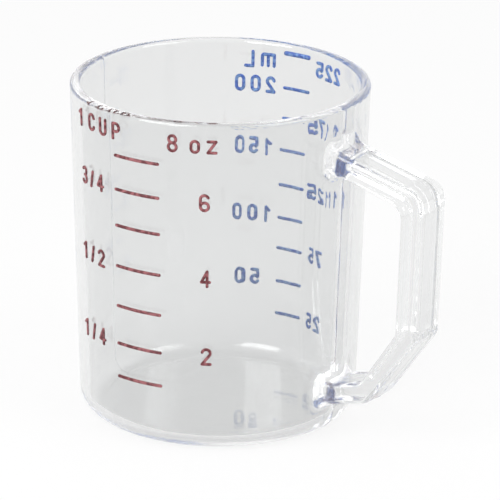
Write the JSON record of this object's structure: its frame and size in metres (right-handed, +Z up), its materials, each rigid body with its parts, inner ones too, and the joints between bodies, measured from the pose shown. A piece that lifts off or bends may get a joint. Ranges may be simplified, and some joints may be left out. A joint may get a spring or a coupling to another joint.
{
  "type": "measuring cup",
  "caption": "Clear moulded measuring cup with a rounded rim and base, an angular bar handle on flared roots, and raised ounce and millilitre scales on opposite sides of the wall.",
  "frame": {"origin": "on the cup's axis, on the plane of the base that it stands on", "axes": "+Z up along the cup's axis, +X towards the handle, +Y to the side that carries the millilitre scale"},
  "size_m": [0.0934, 0.0699, 0.08],
  "materials": {
    "clear_plastic": "polished and clear",
    "ounce_ink": "satin ink",
    "millilitre_ink": "satin ink"
  },
  "bodies": {
    "root": {"cup_body": "clear_plastic", "handle": "clear_plastic", "ounce_mark_1": "ounce_ink", "ounce_mark_2": "ounce_ink", "ounce_mark_3": "ounce_ink", "ounce_mark_4": "ounce_ink", "ounce_mark_5": "ounce_ink", "ounce_mark_6": "ounce_ink", "ounce_mark_7": "ounce_ink", "millilitre_mark_25": "millilitre_ink", "millilitre_mark_50": "millilitre_ink", "millilitre_mark_75": "millilitre_ink", "millilitre_mark_100": "millilitre_ink", "millilitre_mark_125": "millilitre_ink", "millilitre_mark_150": "millilitre_ink", "millilitre_mark_175": "millilitre_ink", "millilitre_mark_200": "millilitre_ink", "millilitre_mark_225": "millilitre_ink"}
  },
  "joints": []
}
